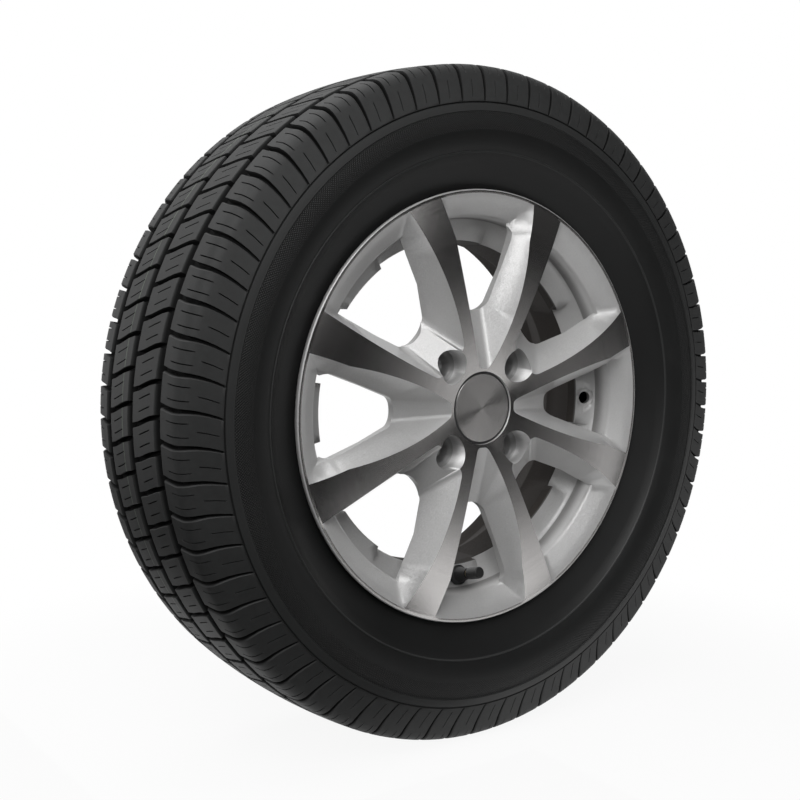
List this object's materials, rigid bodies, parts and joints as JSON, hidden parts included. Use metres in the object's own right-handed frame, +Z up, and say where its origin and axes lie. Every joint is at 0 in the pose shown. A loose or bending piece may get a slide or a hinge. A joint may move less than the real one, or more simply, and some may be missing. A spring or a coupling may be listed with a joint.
{
  "type": "wheel and tyre assembly",
  "caption": "Road wheel: cast alloy rim with straight diamond-cut spokes and bolt seats, fitted with a tubeless tyre, a snap-in valve and a centre cap.",
  "frame": {"origin": "on the spin axis, in the middle plane of the tyre", "axes": "+Y along the spin axis towards the vehicle, +Z up with the fitted valve at the bottom; the outboard face looks along -Y"},
  "size_m": [0.5696, 0.17, 0.5696],
  "materials": {
    "alloy": "silver paint with diamond-cut face",
    "tyre": "moulded, unworn",
    "cap_plastic": "moulded",
    "turned_aluminium": "turned in circles",
    "spring_steel": "bright wire",
    "valve_rubber": "moulded",
    "brass": "machined",
    "seal_rubber": "moulded",
    "black_plastic": "moulded"
  },
  "bodies": {
    "wheel": {"alloy_wheel": "alloy", "tyre": "tyre", "centre_cap": "cap_plastic", "centre_cap_disc": "turned_aluminium", "centre_cap_clip_ring": "spring_steel", "valve_stem_rubber": "valve_rubber", "valve_stem_insert": "brass", "valve_core_plug": "brass", "valve_core_barrel": "brass", "valve_core_gasket": "seal_rubber", "valve_spring": "spring_steel"},
    "pin": {"valve_pin": "brass", "valve_pin_seal": "seal_rubber"},
    "dust_cap_seal": {"valve_cap_seal": "seal_rubber"},
    "dust_cap": {"valve_cap": "black_plastic"}
  },
  "joints": [
    {"name": "valve_pin_press", "type": "slide", "parent": "wheel", "child": "pin", "axis": [0, 0.9659, -0.2588], "range_m": [0, 0.0015], "stiffness_N_per_m": 900, "deforming": ["valve_spring"]},
    {"name": "dust_cap_travel", "type": "slide", "parent": "wheel", "child": "dust_cap_seal", "axis": [0, -0.9659, 0.2588], "range_m": [0, 0.00476]},
    {"name": "dust_cap_turn", "type": "hinge", "parent": "dust_cap_seal", "child": "dust_cap", "pos_m": [0, -0.05841, -0.14277], "axis": [0, -0.9659, 0.2588], "range_deg": [0, 2160]}
  ],
  "couplings": [
    {"joint": "dust_cap_turn", "follows": "dust_cap_travel", "rad_per_m": 7913.3}
  ]
}
